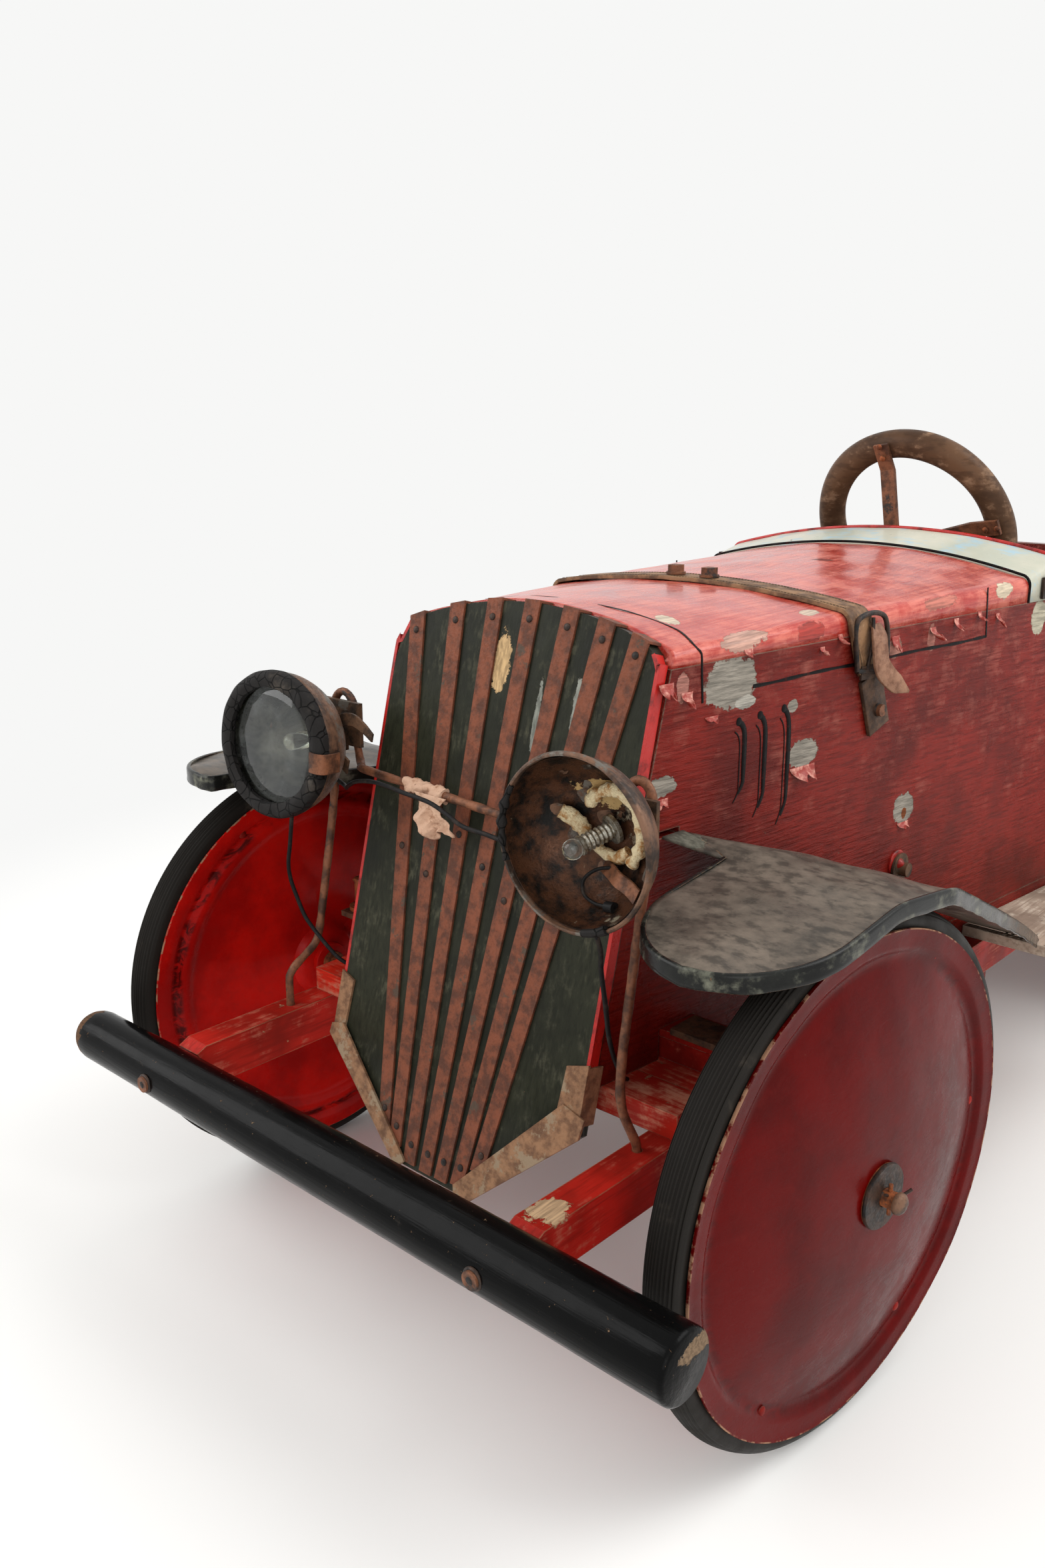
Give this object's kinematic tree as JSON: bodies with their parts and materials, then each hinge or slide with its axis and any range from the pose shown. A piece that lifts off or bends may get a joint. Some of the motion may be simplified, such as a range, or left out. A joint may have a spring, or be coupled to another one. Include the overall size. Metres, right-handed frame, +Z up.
{
  "type": "pedal car",
  "caption": "Child's open wooden pedal car with raked grille, lamps, pole bumper, folded mudguards, disc wheels, rod drive and working steering.",
  "frame": {"origin": "on the ground, midway along and across the car's box", "axes": "+Z up, the nose toward -Y, the car's right side as seen from the front toward +X"},
  "size_m": [0.5221, 1.2077, 0.539],
  "materials": {
    "red_wood": "worn gloss paint over wood grain",
    "bleached_red_wood": "bleached and cracked paint",
    "black_pole": "gloss black paint",
    "green_black_board": "worn dark paint",
    "rusty_iron": "rusted",
    "cream_paint": "worn cream paint",
    "bare_wood": "worn",
    "grey_board": "worn grey",
    "black_sheet": "matt black, worn",
    "leather": "worn",
    "black_iron": "satin",
    "lamp_black": "rust-brown, worn",
    "rubber": "cracked",
    "lens": "dusty",
    "bulb": "with bare metal caps",
    "wire": "satin",
    "rim_wood": "dark worn",
    "dark_steel": "dark, some rust",
    "wheel_red": "glossy dark red",
    "tyre": "ribbed"
  },
  "bodies": {
    "car": {"rail_right": "red_wood", "rail_left": "red_wood", "cross_planks": "red_wood", "axle_blocks": "red_wood", "cross_bearers": "red_wood", "bumper": "black_pole", "grille_board": "green_black_board", "grille_slats": "rusty_iron", "grille_trims": "rusty_iron", "side_right": "red_wood", "side_left": "red_wood", "hood_top": "bleached_red_wood", "cowl_band": "cream_paint", "dashboard": "red_wood", "floor_boards": "bare_wood", "seat_board": "bare_wood", "backrest": "red_wood", "rear_deck": "bleached_red_wood", "tail_panel": "red_wood", "front_guard_right": "black_sheet", "front_guard_left": "black_sheet", "rear_guard_right": "black_sheet", "rear_guard_left": "black_sheet", "running_board_right": "grey_board", "running_board_left": "grey_board", "hood_strap": "leather", "strap_buckle": "rusty_iron", "bolts_and_washers": "rusty_iron", "screen_brackets": "black_iron", "lamp_shell_right": "lamp_black", "lamp_shell_left": "lamp_black", "lamp_ring_left": "rubber", "lamp_glass_left": "lens", "lamp_bulbs": "bulb", "lamp_brackets": "rusty_iron", "lamp_frame_rod": "rusty_iron", "wire_lamp_to_lamp": "wire", "wire_left": "wire", "wire_right": "wire", "steering_brackets": "dark_steel"},
    "column": {"steering_rim": "rim_wood", "steering_spokes": "rusty_iron", "steering_column": "dark_steel"},
    "stub_right": {"stub_axle_right": "dark_steel"},
    "stub_left": {"stub_axle_left": "dark_steel"},
    "tie_rod": {"tie_rod": "dark_steel"},
    "front_wheel_right": {"front_disc_right": "wheel_red", "front_tyre_right": "tyre"},
    "front_wheel_left": {"front_disc_left": "wheel_red", "front_tyre_left": "tyre"},
    "crankshaft": {"pedal_crank": "dark_steel"},
    "pedal_right": {"pedal_right": "bare_wood"},
    "pedal_left": {"pedal_left": "bare_wood"},
    "rod_right": {"connecting_rod_right": "dark_steel"},
    "rod_left": {"connecting_rod_left": "dark_steel"},
    "rear_axle": {"rear_axle": "dark_steel", "rear_disc_right": "wheel_red", "rear_tyre_right": "tyre"},
    "rear_wheel_left": {"rear_disc_left": "wheel_red", "rear_tyre_left": "tyre"}
  },
  "joints": [
    {"name": "steering", "type": "hinge", "parent": "car", "child": "column", "pos_m": [0, 0.04865, 0.443], "axis": [0, 0.9171, 0.3987], "range_deg": [-7.8, 12]},
    {"name": "kingpin_right", "type": "hinge", "parent": "car", "child": "stub_right", "pos_m": [0.16394, -0.39706, 0.1524], "axis": [0, 0, 1], "range_deg": [-7.8, 12]},
    {"name": "kingpin_left", "type": "hinge", "parent": "car", "child": "stub_left", "pos_m": [-0.16394, -0.40564, 0.1524], "axis": [0, 0, 1], "range_deg": [-7.8, 12]},
    {"name": "tie_rod_swing", "type": "hinge", "parent": "stub_right", "child": "tie_rod", "pos_m": [0.16761, -0.34719, 0.1763], "axis": [0, 0, 1], "range_deg": [-12, 7.8]},
    {"name": "front_wheel_right_spin", "type": "hinge", "parent": "stub_right", "child": "front_wheel_right", "pos_m": [0.22378, -0.40145, 0.1524], "axis": [0.9973, -0.0732, 0], "continuous": true},
    {"name": "front_wheel_left_spin", "type": "hinge", "parent": "stub_left", "child": "front_wheel_left", "pos_m": [-0.22387, -0.40261, 0.1524], "axis": [0.9987, -0.0506, 0], "continuous": true},
    {"name": "pedalling", "type": "hinge", "parent": "car", "child": "crankshaft", "pos_m": [0, -0.16335, 0.244], "axis": [1, 0, 0], "continuous": true},
    {"name": "rear_axle_spin", "type": "hinge", "parent": "car", "child": "rear_axle", "pos_m": [0, 0.37865, 0.1524], "axis": [1, 0, 0], "continuous": true},
    {"name": "rear_wheel_left_spin", "type": "hinge", "parent": "rear_axle", "child": "rear_wheel_left", "pos_m": [-0.224, 0.37865, 0.1524], "axis": [1, 0, 0], "continuous": true},
    {"name": "pedal_right_turn", "type": "hinge", "parent": "crankshaft", "child": "pedal_right", "pos_m": [0.061, -0.12649, 0.26981], "axis": [1, 0, 0], "continuous": true},
    {"name": "rod_right_swing", "type": "hinge", "parent": "crankshaft", "child": "rod_right", "pos_m": [0.016, -0.12649, 0.26981], "axis": [1, 0, 0], "continuous": true},
    {"name": "pedal_left_turn", "type": "hinge", "parent": "crankshaft", "child": "pedal_left", "pos_m": [-0.061, -0.20021, 0.21819], "axis": [1, 0, 0], "continuous": true},
    {"name": "rod_left_swing", "type": "hinge", "parent": "crankshaft", "child": "rod_left", "pos_m": [-0.016, -0.20021, 0.21819], "axis": [1, 0, 0], "continuous": true}
  ],
  "couplings": [
    {"joint": "kingpin_right", "follows": "steering", "ratio": 1},
    {"joint": "kingpin_left", "follows": "steering", "ratio": 1},
    {"joint": "tie_rod_swing", "follows": "steering", "ratio": -1},
    {"joint": "rear_axle_spin", "follows": "pedalling", "ratio": 1},
    {"joint": "pedal_right_turn", "follows": "pedalling", "ratio": -1},
    {"joint": "rod_right_swing", "follows": "pedalling", "ratio": -1},
    {"joint": "pedal_left_turn", "follows": "pedalling", "ratio": -1},
    {"joint": "rod_left_swing", "follows": "pedalling", "ratio": -1}
  ]
}
